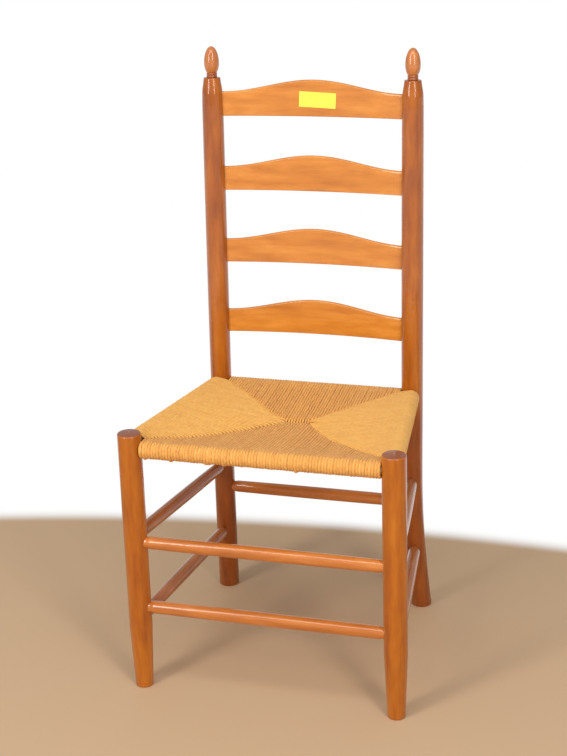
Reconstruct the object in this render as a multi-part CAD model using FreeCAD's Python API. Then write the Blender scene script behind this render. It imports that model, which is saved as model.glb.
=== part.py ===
"""Ladderback side chair: turned posts and rungs, four bowed slats and a woven rush seat.

Millimetres. +Z is up, -Y is the front and +X is the right hand of someone who faces the chair.
The origin is on the floor, at the middle of the chair's footprint.
"""
import FreeCAD, Part
import math
import os

from FreeCAD import Placement, Rotation, Vector

# Front posts
front_post_spacing = 430.0
front_post_height = 460.0
front_post_d = 38.6
front_foot_d = 29.4
front_ankle_d = 33.7
front_ankle_height = 50.0
front_taper_height = 112.0
front_foot_spread = 2.6
post_dome = 1.6
post_rim_r = 2.6

# Back posts, steam bent below the seat and leaning back above it
seat_depth = 347.0
back_post_spacing = 352.0
back_post_spacing_top = 345.2
back_post_d = 37.4
back_shoulder_d = 36.2
back_shoulder_drop = 54.5
back_post_height = 966.5
back_crown_d = 27.6
back_crown_drop = 21.5
back_crown_round = 1.8
back_neck_d = 34.4
leg_bend_height = 256.0
leg_sweep = 33.4
leg_spread = 11.6
post_lean = 20.5
bend_power = 1.6
lean_power = 1.3
foot_round = 2.0
crown_trim = 0.7

# Finials
finial_height = 52.0
finial_d = 25.4
finial_widest_share = 0.36
finial_collar_d = 18.2
finial_collar_height = 8.2
finial_groove = 0.8
finial_groove_height = 4.4
finial_tenon_d = 10.0
finial_tenon = 16.0

# Slats, spaced evenly from one above the seat to one below the crowns
slat_count = 4
first_slat_rise = 95.7
top_slat_drop = 64.8
slat_end_height = 41.0
slat_crown = 20.0
slat_thickness = 7.5
slat_bow = 15.8
slat_tenon = 19.0
slat_top_round = 3.2
slat_bottom_round = 1.2

# Rungs
front_rung_heights = {"lower": 150.0, "upper": 268.4}
side_rung_front_heights = {"lower": 126.3, "upper": 278.0}
side_rung_back_heights = {"lower": 127.0, "upper": 263.3}
back_rung_height = 219.5
rung_swell_d = 22.4
rung_end_d = 21.0
rung_tenon_d = 19.0
rung_tenon = 26.5
rung_neck = 7.0
rung_tenon_shown = 1.6

# Seat rails, which the rush hides
rail_d = 19.0
rail_tenon_d = 14.0
rail_tenon = 26.0
rail_neck = 4.0
rail_tenon_shown = 0.5
front_rail_drop = 27.0
side_rail_drop = 17.0
side_rail_fall = 18.5
back_rail_step = 4.5

# Rush seat: four panels that meet at mitred seams, with card between their layers
cord_d = 4.8
rush_centre_dip = 3.5
rush_centre_thickness = 15.0
rush_centre_depth = 198.0
rush_left_apex = -11.0
rush_right_apex = 28.0
card_thickness = 2.0
card_margin = 12.0
card_rail_margin = 4.0

# Tacks that hold the short front strands to the side rails
tacks_per_rail = 8
first_tack_distance = 52.0
tack_pitch = 7.5
tack_head_d = 5.0
tack_head_thickness = 0.9
tack_shank_d = 1.3
tack_length = 8.0
tack_point = 2.0

# Blank paper label on the top slat
label_width = 63.5
label_height = 25.4
label_thickness = 0.2
label_offset = 8.3
label_rise = 15.2
label_turn = 2.5

# Clearances
glue_gap = 0.1
slat_gap = 0.2
tenon_end_gap = 1.0
tenon_chamfer = 1.2
rush_gap = 0.3
tack_gap = 0.05
label_gap = 0.08

# How far a cutting tool runs past the piece that it cuts
foot_overrun = 8.0
mortise_overrun = 6.0
bore_overrun = 1.0

# Places that follow from the sizes above
footprint_depth = front_post_d / 2 + seat_depth + leg_sweep + back_post_d / 2
front_y = front_post_d / 2 - footprint_depth / 2
back_shoulder_height = back_post_height - back_shoulder_drop
front_rail_height = front_post_height - front_rail_drop
side_rail_front_height = front_post_height - side_rail_drop
side_rail_back_height = side_rail_front_height - side_rail_fall
back_rail_height = side_rail_back_height - back_rail_step
rush_centre_height = side_rail_back_height - rush_centre_dip
first_slat_height = side_rail_back_height + first_slat_rise
top_slat_height = back_post_height - top_slat_drop
slat_pitch = (top_slat_height - first_slat_height) / (slat_count - 1)
side_signs = {"left": -1, "right": 1}
rush_r = rail_d / 2 + cord_d
up = Vector(0, 0, 1)


def front_axis(side, z):
    """Centre of a front post at height z."""
    spread = front_foot_spread * (1 - z / front_post_height)
    return Vector(side * (front_post_spacing / 2 + spread), front_y, z)


def back_axis(side, z):
    """Centre of a back post at height z, bent below the seat and leaning above it."""
    bend = max(0.0, (leg_bend_height - z) / leg_bend_height) ** bend_power
    rise = max(0.0, (z - leg_bend_height) / (back_post_height - leg_bend_height))
    inward = (back_post_spacing - back_post_spacing_top) / 2 * rise
    x = back_post_spacing / 2 + leg_spread * bend - inward
    y = front_y + seat_depth + leg_sweep * bend + post_lean * rise ** lean_power
    return Vector(side * x, y, z)


def back_direction(side, z):
    """Unit vector that runs up a back post at height z."""
    step = back_post_height / 1000
    return (back_axis(side, z + step) - back_axis(side, z - step)).normalize()


def back_post_diameter(z):
    """Diameter of a back post at height z: even, then slowly slimmer, then a taper to the crown."""
    neck_height = back_post_height - back_crown_drop
    if z <= leg_bend_height:
        return back_post_d
    if z <= back_shoulder_height:
        rise = (z - leg_bend_height) / (back_shoulder_height - leg_bend_height)
        return back_post_d + (back_shoulder_d - back_post_d) * rise ** 4
    if z <= neck_height:
        rise = (z - back_shoulder_height) / (neck_height - back_shoulder_height)
        return back_shoulder_d - (back_shoulder_d - back_neck_d) * rise ** 2
    rise = (z - neck_height) / back_crown_drop
    return back_neck_d - (back_neck_d - back_crown_d) * rise


def turned(profile, start=Vector(0, 0, 0), direction=up):
    """Solid turned about the line from start along direction.

    The profile's points are (radius, height). A list of three points in it is an arc, and a
    longer list is one smooth curve.
    """
    edges = []
    last = None
    for item in profile:
        places = item if isinstance(item, list) else [item]
        points = [Vector(r, 0, h) for r, h in places]
        if last is not None and last.distanceToPoint(points[0]) > 1e-6:
            edges.append(Part.makeLine(last, points[0]))
        if len(points) == 3:
            edges.append(Part.Arc(*points).toShape())
        elif len(points) > 3:
            curve = Part.BSplineCurve()
            curve.interpolate(points)
            edges.append(curve.toShape())
        last = points[-1]
    edges.append(Part.makeLine(last, Vector(0, 0, profile[0][1])))
    solid = Part.Face(Part.Wire(edges)).revolve(Vector(0, 0, 0), up, 360)
    solid.Placement = Placement(start, Rotation(up, direction))
    return solid


def round_rim(post, radius, height):
    """Post with the rim of its flat end, at the given height, rounded."""
    rim = []
    for edge in post.Edges:
        away = max(abs(edge.BoundBox.ZMin - height), abs(edge.BoundBox.ZMax - height))
        if away < radius:
            rim.append(edge)
    return post.makeFillet(radius, rim)


def make_front_post(side):
    """Turned front post with a tapered foot and a slightly domed top."""
    r = front_post_d / 2
    taper = (front_ankle_d - front_foot_d) / 2 / front_ankle_height
    foot = [
        (front_foot_d / 2 - taper * foot_overrun, -foot_overrun),
        (front_ankle_d / 2, front_ankle_height),
        (r, front_taper_height),
    ]
    bulge = post_rim_r * (1 - math.sqrt(0.5))
    rim = [
        (r, front_post_height - post_rim_r),
        (r - bulge, front_post_height - bulge),
        (r - post_rim_r, front_post_height),
    ]
    flat = r - post_rim_r
    ball = (flat ** 2 + post_dome ** 2) / (2 * post_dome)
    middle = math.sqrt(ball ** 2 - flat ** 2 / 4) - ball + post_dome
    dome = [
        (flat, front_post_height),
        (flat / 2, front_post_height + middle),
        (0.0, front_post_height + post_dome),
    ]
    start = front_axis(side, 0.0)
    direction = (front_axis(side, front_post_height) - start).normalize()
    post = turned([(0.0, -foot_overrun), foot, rim, dome], start, direction)
    ground = Part.makeBox(front_post_d * 2, front_post_d * 2, foot_overrun * 2)
    ground.translate(start - Vector(front_post_d, front_post_d, foot_overrun * 2))
    return round_rim(post.cut(ground), foot_round, 0.0)


def make_back_post(side):
    """Bent back post, lofted through level circles along its axis."""
    neck_height = back_post_height - back_crown_drop
    heights = [leg_bend_height * i / 6 for i in range(7)]
    heights += [leg_bend_height + (back_shoulder_height - leg_bend_height) * i / 6 for i in range(1, 7)]
    heights += [back_shoulder_height + (neck_height - back_shoulder_height) * i / 3 for i in range(1, 4)]
    heights += [neck_height + back_crown_drop * i / 3 for i in range(1, 4)]
    wires = []
    for z in heights:
        circle = Part.makeCircle(back_post_diameter(z) / 2)
        circle.Placement = Placement(back_axis(side, z), Rotation(up, 90))
        wires.append(Part.Wire(circle))
    post = round_rim(Part.makeLoft(wires, True, False), back_crown_round, back_post_height)
    post = round_rim(post, foot_round, 0.0)
    corner = Vector(-back_post_d / 2, -back_post_d / 2, 0)
    waste = Part.makeBox(back_post_d, back_post_d, back_post_d, corner)
    waste.Placement = finial_place(side)
    return post.cut(waste)


def finial_place(side):
    """Place of a finial's own frame: the middle of the back post's trimmed crown, leaning with it."""
    height = back_post_height - crown_trim
    return Placement(back_axis(side, height), Rotation(up, back_direction(side, height)))


def make_finial(side):
    """Egg on two beads, widest below its middle, with a round tenon below the shoulder."""
    r = finial_d / 2
    tenon_r = finial_tenon_d / 2
    bead_r = finial_collar_d / 2
    waist_r = bead_r - finial_groove
    below = (finial_height - finial_collar_height) * finial_widest_share
    widest = finial_collar_height + below
    low = -math.acos(waist_r / r)
    egg = []
    for index in range(4):
        angle = low * (1 - index / 4)
        egg.append((r * math.cos(angle), widest + below * math.sin(angle) / math.sin(-low)))
    for index in range(6):
        angle = math.pi / 2 * index / 6
        egg.append((r * math.cos(angle), widest + (finial_height - widest) * math.sin(angle)))
    beads = []
    for base, top in ((0.0, finial_groove_height), (finial_groove_height, finial_collar_height)):
        beads.append([(waist_r, base), (bead_r, (base + top) / 2), (waist_r, top)])
    profile = [
        (0.0, -finial_tenon),
        (tenon_r - tenon_chamfer, -finial_tenon),
        (tenon_r, tenon_chamfer - finial_tenon),
        (tenon_r, 0.0),
        *beads,
        egg + [(0.0, finial_height)],
    ]
    finial = turned(profile)
    finial.Placement = finial_place(side)
    return finial


def make_finial_hole(side):
    """Hole down the crown of a back post for the finial's tenon."""
    depth = finial_tenon + tenon_end_gap
    hole = Part.makeCylinder(finial_tenon_d / 2 + glue_gap, depth + bore_overrun, Vector(0, 0, -depth))
    hole.Placement = finial_place(side)
    return hole


class Stretcher:
    """Round rung or rail between two post axes, with the holes that its tenons need."""

    def __init__(self, start, end, near_d, far_d, tenon_d, tenon, shown, body):
        direction = (end - start).normalize()
        length = start.distanceToPoint(end)
        near, far = near_d / 2, length - far_d / 2
        tip, far_tip = near - tenon, far + tenon
        r = tenon_d / 2
        profile = [(0.0, tip), (r - tenon_chamfer, tip), (r, tip + tenon_chamfer), (r, near + shown)]
        profile += body(near, far)
        profile += [(r, far - shown), (r, far_tip - tenon_chamfer)]
        profile += [(r - tenon_chamfer, far_tip), (0.0, far_tip)]
        self.start = start
        self.direction = direction
        self.length = length
        self.solid = turned(profile, start, direction)
        hole_r = r + glue_gap
        depth = tenon + tenon_end_gap
        near_end = start + direction * (near - depth)
        far_end = start + direction * (far + depth)
        self.near_hole = Part.makeCylinder(hole_r, depth + near, near_end, direction)
        self.far_hole = Part.makeCylinder(hole_r, depth + far_d / 2, far_end, direction * -1)


def make_rung(start, end, near_d, far_d):
    """Rung that swells towards its middle."""
    def body(near, far):
        ends = near + rung_neck, far - rung_neck
        return [[(rung_end_d / 2, ends[0]), (rung_swell_d / 2, sum(ends) / 2), (rung_end_d / 2, ends[1])]]
    return Stretcher(start, end, near_d, far_d, rung_tenon_d, rung_tenon, rung_tenon_shown, body)


def make_rail(start, end, near_d, far_d):
    """Plain seat rail."""
    def body(near, far):
        return [(rail_d / 2, near + rail_neck), (rail_d / 2, far - rail_neck)]
    return Stretcher(start, end, near_d, far_d, rail_tenon_d, rail_tenon, rail_tenon_shown, body)


class Slat:
    """Bowed slat with a crowned top edge, and the mortise at each end of it."""

    def __init__(self, bottom):
        middle = bottom + slat_end_height / 2
        self.bottom = bottom
        self.half = back_axis(1, middle).x
        self.inner = self.half - back_post_diameter(middle) / 2
        self.radius = (self.half ** 2 + slat_bow ** 2) / (2 * slat_bow)
        lean = back_direction(1, middle)
        angle = -math.degrees(math.atan2(lean.y, lean.z))
        self.place = Placement(Vector(0, back_axis(1, bottom).y, bottom), Rotation(Vector(1, 0, 0), angle))

    def path(self, x):
        """Bow and slope at distance x from the middle: an arc, straight on inside the mortises."""
        held = max(-self.inner, min(self.inner, x))
        run = math.sqrt(self.radius ** 2 - held ** 2)
        slope = -held / run
        return run - self.radius + slat_bow + slope * (x - held), slope

    def section(self, x):
        """Rounded rectangle across the slat at distance x from the middle."""
        bow, slope = self.path(x)
        along = min(1.0, abs(x) / self.inner)
        height = slat_end_height + slat_crown * (1 + math.cos(math.pi * along)) / 2
        across = Vector(-slope, 1, 0).normalize()
        half = slat_thickness / 2
        corners = (
            (-half, 0.0, slat_bottom_round, 1, 1),
            (half, 0.0, slat_bottom_round, -1, 1),
            (half, height, slat_top_round, -1, -1),
            (-half, height, slat_top_round, 1, -1),
        )

        def at(offset, z):
            return Vector(x, bow, z) + across * offset

        arcs = []
        for index, (offset, z, r, inward, upward) in enumerate(corners):
            bulge = r * (1 - math.sqrt(0.5))
            beside = at(offset + inward * r, z)
            middle = at(offset + inward * bulge, z + upward * bulge)
            above = at(offset, z + upward * r)
            arcs.append((above, middle, beside) if index % 2 == 0 else (beside, middle, above))
        edges = []
        for index, arc in enumerate(arcs):
            edges.append(Part.Arc(*arc).toShape())
            edges.append(Part.makeLine(arc[2], arcs[(index + 1) % 4][0]))
        return Part.Wire(edges)

    def solid(self):
        """The slat with its two plain tenons."""
        tip = self.inner + slat_tenon
        shown = [self.inner * i / 7 for i in range(-7, 8)]
        held = [self.inner + slat_tenon / 2, tip]
        stations = [-x for x in reversed(held)] + shown + held
        slat = Part.makeLoft([self.section(x) for x in stations], True, False)
        slat.Placement = self.place
        return slat

    def mortise(self, side):
        """Square-cornered mortise in one post, in line with the slat's end."""
        bow, slope = self.path(side * self.inner)
        length = mortise_overrun + slat_tenon + tenon_end_gap
        corner = Vector(-mortise_overrun, -slat_thickness / 2 - slat_gap, -slat_gap)
        box = Part.makeBox(length, slat_thickness + 2 * slat_gap, slat_end_height + 2 * slat_gap, corner)
        turn = math.degrees(math.atan(slope)) + (180 if side < 0 else 0)
        box.Placement = self.place.multiply(Placement(Vector(side * self.inner, bow, 0), Rotation(up, turn)))
        return box

    def label(self):
        """Blank paper label that follows the front of the slat, stuck on a little askew."""
        outer = self.radius - slat_thickness / 2 - label_gap
        inner = outer - label_thickness
        reach = label_width / 2 / self.radius
        middle = label_offset / self.radius

        def at(r, turn):
            x = r * math.sin(middle + turn)
            y = slat_bow - self.radius + r * math.cos(middle + turn)
            return Vector(x, y, label_rise)

        outline = Part.Wire([
            Part.Arc(at(outer, -reach), at(outer, 0), at(outer, reach)).toShape(),
            Part.makeLine(at(outer, reach), at(inner, reach)),
            Part.Arc(at(inner, reach), at(inner, 0), at(inner, -reach)).toShape(),
            Part.makeLine(at(inner, -reach), at(outer, -reach)),
        ])
        label = Part.Face(outline).extrude(Vector(0, 0, label_height))
        centre = at(outer, 0) + Vector(0, 0, label_height / 2)
        label.rotate(centre, Vector(math.sin(middle), math.cos(middle), 0), label_turn)
        label.Placement = self.place.multiply(label.Placement)
        return label


class RushPanel:
    """One quarter of the rush seat: a roll round its rail, a dished top and a sagging underside."""

    def __init__(self, rail, outward, outline):
        self.rail = rail
        self.outward = outward
        self.outline = Part.Face(Part.makePolygon(outline + outline[:1]))
        rotation = Rotation(rail.direction, outward * -1, up, "XZY")
        self.place = Placement(rail.start, rotation)
        centre_x = sum(point.x for point in outline[4:-2]) / len(outline[4:-2])
        centre = Vector(centre_x, front_y + rush_centre_depth, rush_centre_height)
        seen = self.place.inverse().multVec(centre)
        self.reach = seen.y
        self.centre_top = seen.z
        self.centre_bottom = seen.z - rush_centre_thickness

    def band(self, near, far, near_z, far_z):
        """Three points of a curve that falls from near_z over the rail to far_z at the centre."""
        points = []
        for distance in (near, (near + far) / 2, far):
            left = 1 - distance / self.reach
            points.append(Vector(0, distance, far_z + (near_z - far_z) * left ** 2))
        return points

    def prism(self, edges, cut_back):
        """Profile run along the rail, kept inside the panel's outline less cut_back."""
        spare = 3 * rush_r
        solid = Part.Face(Part.Wire(edges)).extrude(Vector(self.rail.length + 2 * spare, 0, 0))
        solid.translate(Vector(-spare, 0, 0))
        solid.Placement = self.place.multiply(solid.Placement)
        face = self.outline.makeOffset2D(-cut_back)
        plan = face.extrude(Vector(0, 0, 2 * rush_centre_height))
        return solid.common(plan)

    def body(self):
        """Outer form of the panel, with the card's pocket and without the rail's bore."""
        top = self.band(0, self.reach, rush_r, self.centre_top)
        bottom = self.band(0, self.reach, -rush_r, self.centre_bottom)
        top_turn = math.atan(2 * (rush_r - self.centre_top) / self.reach)
        bottom_turn = math.atan(2 * (-rush_r - self.centre_bottom) / self.reach)
        top[0] = Vector(0, rush_r * math.sin(top_turn), rush_r * math.cos(top_turn))
        bottom[0] = Vector(0, -rush_r * math.sin(bottom_turn), -rush_r * math.cos(bottom_turn))
        edges = [
            Part.Arc(*top).toShape(),
            Part.makeLine(top[2], bottom[2]),
            Part.Arc(bottom[2], bottom[1], bottom[0]).toShape(),
            Part.Arc(bottom[0], Vector(0, -rush_r, 0), top[0]).toShape(),
        ]
        return self.prism(edges, rush_gap / 2).cut(self.card(rush_gap))

    def card(self, spare=0.0):
        """Card between the layers, or with spare its pocket."""
        half = card_thickness / 2 + spare
        middle = (self.centre_top + self.centre_bottom) / 2
        near = rush_r + card_rail_margin - spare
        top = self.band(near, self.reach, half, middle + half)
        bottom = self.band(near, self.reach, -half, middle - half)
        edges = [
            Part.Arc(*top).toShape(),
            Part.makeLine(top[2], bottom[2]),
            Part.Arc(bottom[2], bottom[1], bottom[0]).toShape(),
            Part.makeLine(bottom[0], top[0]),
        ]
        return self.prism(edges, card_margin - spare)


def tack_places(rail, toward):
    """Where the tacks stand on the inner side of a side rail, and how they point."""
    inward = (toward - rail.direction * toward.dot(rail.direction)).normalize()
    from_front = rail.direction if rail.direction.y > 0 else rail.direction * -1
    front = rail.start if rail.direction.y > 0 else rail.start + rail.direction * rail.length
    reach = rail_d / 2 + tack_gap
    for index in range(tacks_per_rail):
        distance = first_tack_distance + index * tack_pitch
        yield front + from_front * distance + inward * reach, inward


def make_tack(place, inward):
    """Flat-headed tack driven straight into the rail."""
    head = Part.makeCylinder(tack_head_d / 2, tack_head_thickness, place, inward)
    tip = place - inward * tack_length
    shank = Part.makeCylinder(tack_shank_d / 2, tack_length - tack_point, tip + inward * tack_point, inward)
    point = Part.makeCone(0, tack_shank_d / 2, tack_point, tip, inward)
    return head.fuse([shank, point]).removeSplitter()


def make_tack_hole(place, inward):
    """Hole that a tack makes in its rail."""
    depth = tack_length + tack_gap
    return Part.makeCylinder(tack_shank_d / 2 + tack_gap, depth + rush_gap, place - inward * depth, inward)


def make_tack_slot(place, inward):
    """Room for a tack's head under the rush."""
    r = tack_head_d / 2 + rush_gap
    return Part.makeCylinder(r, r + tack_head_thickness + rush_gap, place - inward * r, inward)


def build():
    """Every piece of the chair, by name."""
    parts = {}
    front_holes = {"left": [], "right": []}
    back_holes = {"left": [], "right": []}

    # Slats and their label
    slats = [Slat(first_slat_height + slat_pitch * index) for index in range(slat_count)]
    for number, slat in enumerate(slats, 1):
        parts[f"slat_{number}"] = slat.solid()
        for name, sign in side_signs.items():
            back_holes[name].append(slat.mortise(sign))
    parts["paper_label"] = slats[-1].label()

    # Rungs
    for level, height in front_rung_heights.items():
        ends = [front_axis(sign, height) for sign in (-1, 1)]
        rung = make_rung(*ends, front_post_d, front_post_d)
        solid = rung.solid
        front_holes["left"].append(rung.near_hole)
        front_holes["right"].append(rung.far_hole)
        for name, sign in side_signs.items():
            start = front_axis(sign, side_rung_front_heights[level])
            end = back_axis(sign, side_rung_back_heights[level])
            side_rung = make_rung(start, end, front_post_d, back_post_d)
            parts[f"side_rung_{name}_{level}"] = side_rung.solid
            front_holes[name].append(side_rung.near_hole)
            back_holes[name].append(side_rung.far_hole)
            solid = solid.cut(side_rung.near_hole)
        parts[f"front_rung_{level}"] = solid
    ends = [back_axis(sign, back_rung_height) for sign in (-1, 1)]
    back_rung = make_rung(*ends, back_post_d, back_post_d)
    parts["back_rung"] = back_rung.solid
    back_holes["left"].append(back_rung.near_hole)
    back_holes["right"].append(back_rung.far_hole)

    # Seat rails, in order round the seat as seen from above
    corners = {
        "front": (front_axis(-1, front_rail_height), front_axis(1, front_rail_height)),
        "right": (front_axis(1, side_rail_front_height), back_axis(1, side_rail_back_height)),
        "back": (back_axis(1, back_rail_height), back_axis(-1, back_rail_height)),
        "left": (back_axis(-1, side_rail_back_height), front_axis(-1, side_rail_front_height)),
    }
    widths = {
        "front": (front_post_d, front_post_d),
        "right": (front_post_d, back_post_d),
        "back": (back_post_d, back_post_d),
        "left": (back_post_d, front_post_d),
    }
    rails = {name: make_rail(*corners[name], *widths[name]) for name in corners}
    side_holes = {
        "front": [rails["left"].far_hole, rails["right"].near_hole],
        "back": [rails["left"].near_hole, rails["right"].far_hole],
    }
    front_holes["left"] += [rails["front"].near_hole, rails["left"].far_hole]
    front_holes["right"] += [rails["front"].far_hole, rails["right"].near_hole]
    back_holes["left"] += [rails["back"].far_hole, rails["left"].near_hole]
    back_holes["right"] += [rails["back"].near_hole, rails["right"].far_hole]

    # Tacks
    tacks = []
    tack_holes = {"left": [], "right": []}
    tack_slots = {"left": [], "right": []}
    for name, sign in side_signs.items():
        for place, inward in tack_places(rails[name], Vector(-sign, 0, 0)):
            tacks.append(make_tack(place, inward))
            tack_holes[name].append(make_tack_hole(place, inward))
            tack_slots[name].append(make_tack_slot(place, inward))
    parts["gusset_tacks"] = Part.makeCompound(tacks)
    for name, rail in rails.items():
        cuts = side_holes.get(name) or tack_holes[name]
        parts[f"seat_rail_{name}"] = rail.solid.cut(cuts)

    # Rush panels and the card inside them
    seat_posts = []
    inner = {}
    for name, sign in side_signs.items():
        low = rush_centre_height - 3 * rush_r
        tall = 6 * rush_r
        r_front = front_post_d / 2
        r_back = back_post_diameter(back_rail_height) / 2
        for r, axis in ((r_front, front_axis), (r_back, back_axis)):
            lean = (axis(sign, low + tall) - axis(sign, low)).normalize()
            seat_posts.append(Part.makeCylinder(r + rush_gap, tall, axis(sign, low), lean))
        inner[f"front {name}"] = front_axis(sign, 0) + Vector(-sign * r_front, r_front, 0)
        inner[f"back {name}"] = back_axis(sign, back_rail_height) + Vector(-sign * r_back, -r_back, 0)
    left_apex = Vector(rush_left_apex, front_y + rush_centre_depth, 0)
    right_apex = Vector(rush_right_apex, front_y + rush_centre_depth, 0)
    seams = {
        "front": (Vector(0, -1, 0), "front left", "front right", [right_apex, left_apex]),
        "right": (Vector(1, 0, 0), "front right", "back right", [right_apex]),
        "back": (Vector(0, 1, 0), "back right", "back left", [left_apex, right_apex]),
        "left": (Vector(-1, 0, 0), "back left", "front left", [left_apex]),
    }
    for name, (outward, first, last, apexes) in seams.items():
        rail = rails[name]
        start = rail.start
        end = rail.start + rail.direction * rail.length
        aside = outward * (2 * rush_r)
        outline = [start + aside, end + aside, end, inner[last]] + apexes + [inner[first], start]
        outline = [Vector(point.x, point.y, 0) for point in outline]
        panel = RushPanel(rail, outward, outline)
        bore = Part.makeCylinder(rail_d / 2 + rush_gap, rail.length, rail.start, rail.direction)
        cuts = [bore] + seat_posts + tack_slots.get(name, [])
        parts[f"rush_{name}"] = panel.body().cut(cuts)
        parts[f"card_{name}"] = panel.card()

    # Posts and finials
    for name, sign in side_signs.items():
        parts[f"front_post_{name}"] = make_front_post(sign).cut(front_holes[name])
        back_holes[name].append(make_finial_hole(sign))
        parts[f"back_post_{name}"] = make_back_post(sign).cut(back_holes[name])
        parts[f"finial_{name}"] = make_finial(sign)
    return parts


def main():
    """Write each piece to its own file."""
    os.makedirs("parts", exist_ok=True)
    for name, shape in sorted(build().items()):
        shape.exportStep(f"parts/{name}.step")
        print(f"{name}: {len(shape.Solids)} solid, {shape.Volume / 1000:.1f} cm3, valid {shape.isValid()}")


main()
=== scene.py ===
"""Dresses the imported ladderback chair: lacquered maple, a rush seat laid cord by cord, and a studio.

Metres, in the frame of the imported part: +Z is up, -Y is the front, and the origin is on the floor.
"""

import logging
import math
from dataclasses import dataclass, field
from enum import Enum
from typing import Any, Dict, List, Optional, Sequence, Tuple

import bpy
import numpy as np
from mathutils import Matrix, Vector

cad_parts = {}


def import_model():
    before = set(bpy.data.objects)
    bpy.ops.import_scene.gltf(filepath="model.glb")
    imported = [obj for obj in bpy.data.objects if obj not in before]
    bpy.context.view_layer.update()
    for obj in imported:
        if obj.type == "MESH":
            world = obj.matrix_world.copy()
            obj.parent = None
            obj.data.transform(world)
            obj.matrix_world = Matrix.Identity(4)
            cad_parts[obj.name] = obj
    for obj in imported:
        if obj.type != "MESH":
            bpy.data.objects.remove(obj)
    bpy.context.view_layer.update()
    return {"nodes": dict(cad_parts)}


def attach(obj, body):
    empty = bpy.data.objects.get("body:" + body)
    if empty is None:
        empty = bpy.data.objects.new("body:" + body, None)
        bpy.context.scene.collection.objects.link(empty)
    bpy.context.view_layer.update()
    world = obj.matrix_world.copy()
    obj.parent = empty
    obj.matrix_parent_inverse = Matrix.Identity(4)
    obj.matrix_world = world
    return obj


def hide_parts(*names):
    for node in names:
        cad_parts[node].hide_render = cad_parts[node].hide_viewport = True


MM = 0.001
WHITE = (1.0, 1.0, 1.0, 1.0)
LOG = logging.getLogger("chair")

Colour = Tuple[float, float, float, float]
Point = Tuple[float, float, float]
Pair = Tuple[float, float]
Cord = Tuple[np.ndarray, np.ndarray]
Tree = bpy.types.NodeTree
Node = bpy.types.Node
Socket = bpy.types.NodeSocket


class Grain(Enum):
    """Axis that the grain of a turned or sawn piece runs along."""

    ACROSS = 0
    DEPTH = 1
    UPRIGHT = 2


class Edge(Enum):
    """Side of the seat that a panel of cords is wound over."""

    FRONT = "front"
    RIGHT = "right"
    BACK = "back"
    LEFT = "left"


def linear(hex_colour: str) -> Colour:
    """Turn an sRGB hex colour to linear.

    Args:
        hex_colour: Six hex digits after a hash.

    Returns:
        Linear red, green, blue and an alpha of 1.
    """
    def channel(text: str) -> float:
        """One channel from two hex digits."""
        value = int(text, 16) / 255
        return value / 12.92 if value <= 0.04045 else ((value + 0.055) / 1.055) ** 2.4

    digits = hex_colour.lstrip("#")
    return channel(digits[0:2]), channel(digits[2:4]), channel(digits[4:6]), 1.0


def add_node(
    tree: Tree, kind: str, settings: Optional[Dict[str, Any]] = None,
    stops: Sequence[Tuple[float, str]] = (), **inputs: Any
) -> Node:
    """Add a node with its settings and links.

    Args:
        tree: Node tree that gets the node.
        kind: Blender's type name for the node.
        settings: Properties to set on the node.
        stops: Position and hex colour of each stop of a colour ramp, in order.
        **inputs: Values or output sockets by input name, or by i and the input's number.

    Returns:
        The new node.
    """
    node = tree.nodes.new(kind)
    for name, value in (settings or {}).items():
        setattr(node, name, value)
    if stops:
        elements = node.color_ramp.elements
        while len(elements) < len(stops):
            elements.new(stops[len(elements) - 1][0])
        for element, (position, colour) in zip(elements, stops):
            element.position = position
            element.color = linear(colour)
    for name, value in inputs.items():
        numbered = name[0] == "i" and name[1:].isdigit()
        socket = node.inputs[int(name[1:]) if numbered else name.replace("_", " ")]
        if isinstance(value, Socket):
            tree.links.new(value, socket)
        else:
            socket.default_value = value
    return node


def start_material(name: str, roughness: float, **uniform: float) -> Tuple[bpy.types.Material, Node]:
    """Start a material whose only shader is a Principled one.

    Args:
        name: Name of the material.
        roughness: Base roughness.
        **uniform: Other values set on the shader's own sockets, spaces as underscores.

    Returns:
        The material and its shader node.
    """
    material = bpy.data.materials.new(name)
    material.use_nodes = True
    tree = material.node_tree
    tree.nodes.clear()
    shader = add_node(tree, "ShaderNodeBsdfPrincipled", Roughness=roughness, **uniform)
    add_node(tree, "ShaderNodeOutputMaterial", Surface=shader.outputs["BSDF"])
    return material, shader


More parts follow.
